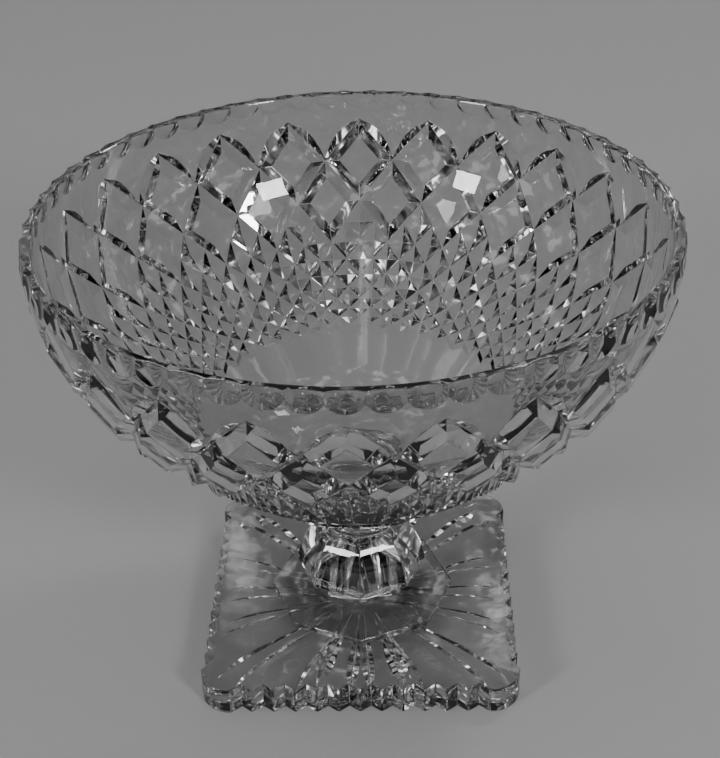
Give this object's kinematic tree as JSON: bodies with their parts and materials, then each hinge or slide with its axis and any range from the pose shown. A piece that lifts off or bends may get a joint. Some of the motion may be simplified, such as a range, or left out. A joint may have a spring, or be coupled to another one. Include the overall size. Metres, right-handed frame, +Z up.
{
  "type": "punch bowl",
  "caption": "Footed cut-crystal punch bowl: a diamond-cut bowl with a scalloped rim on a faceted knop stem and a square serrated foot.",
  "frame": {"origin": "centre of the foot's underside, on the surface that the bowl stands on", "axes": "+Z up along the bowl's axis; the foot's sides run along X and Y"},
  "size_m": [0.254, 0.254, 0.197],
  "materials": {
    "bowl_crystal": "clear lead crystal, wheel cut in plain diamonds and pointed diamonds, fire polished inside",
    "wafer_crystal": "clear lead crystal, fire polished, uncut",
    "stem_crystal": "clear lead crystal, cut in flat panels and polished",
    "foot_crystal": "clear lead crystal, notched edge and leaf-shaped mitre cuts underneath, light wear where it stands"
  },
  "bodies": {
    "root": {"bowl": "bowl_crystal", "joining_wafer": "wafer_crystal", "stem": "stem_crystal", "foot": "foot_crystal"}
  },
  "joints": []
}
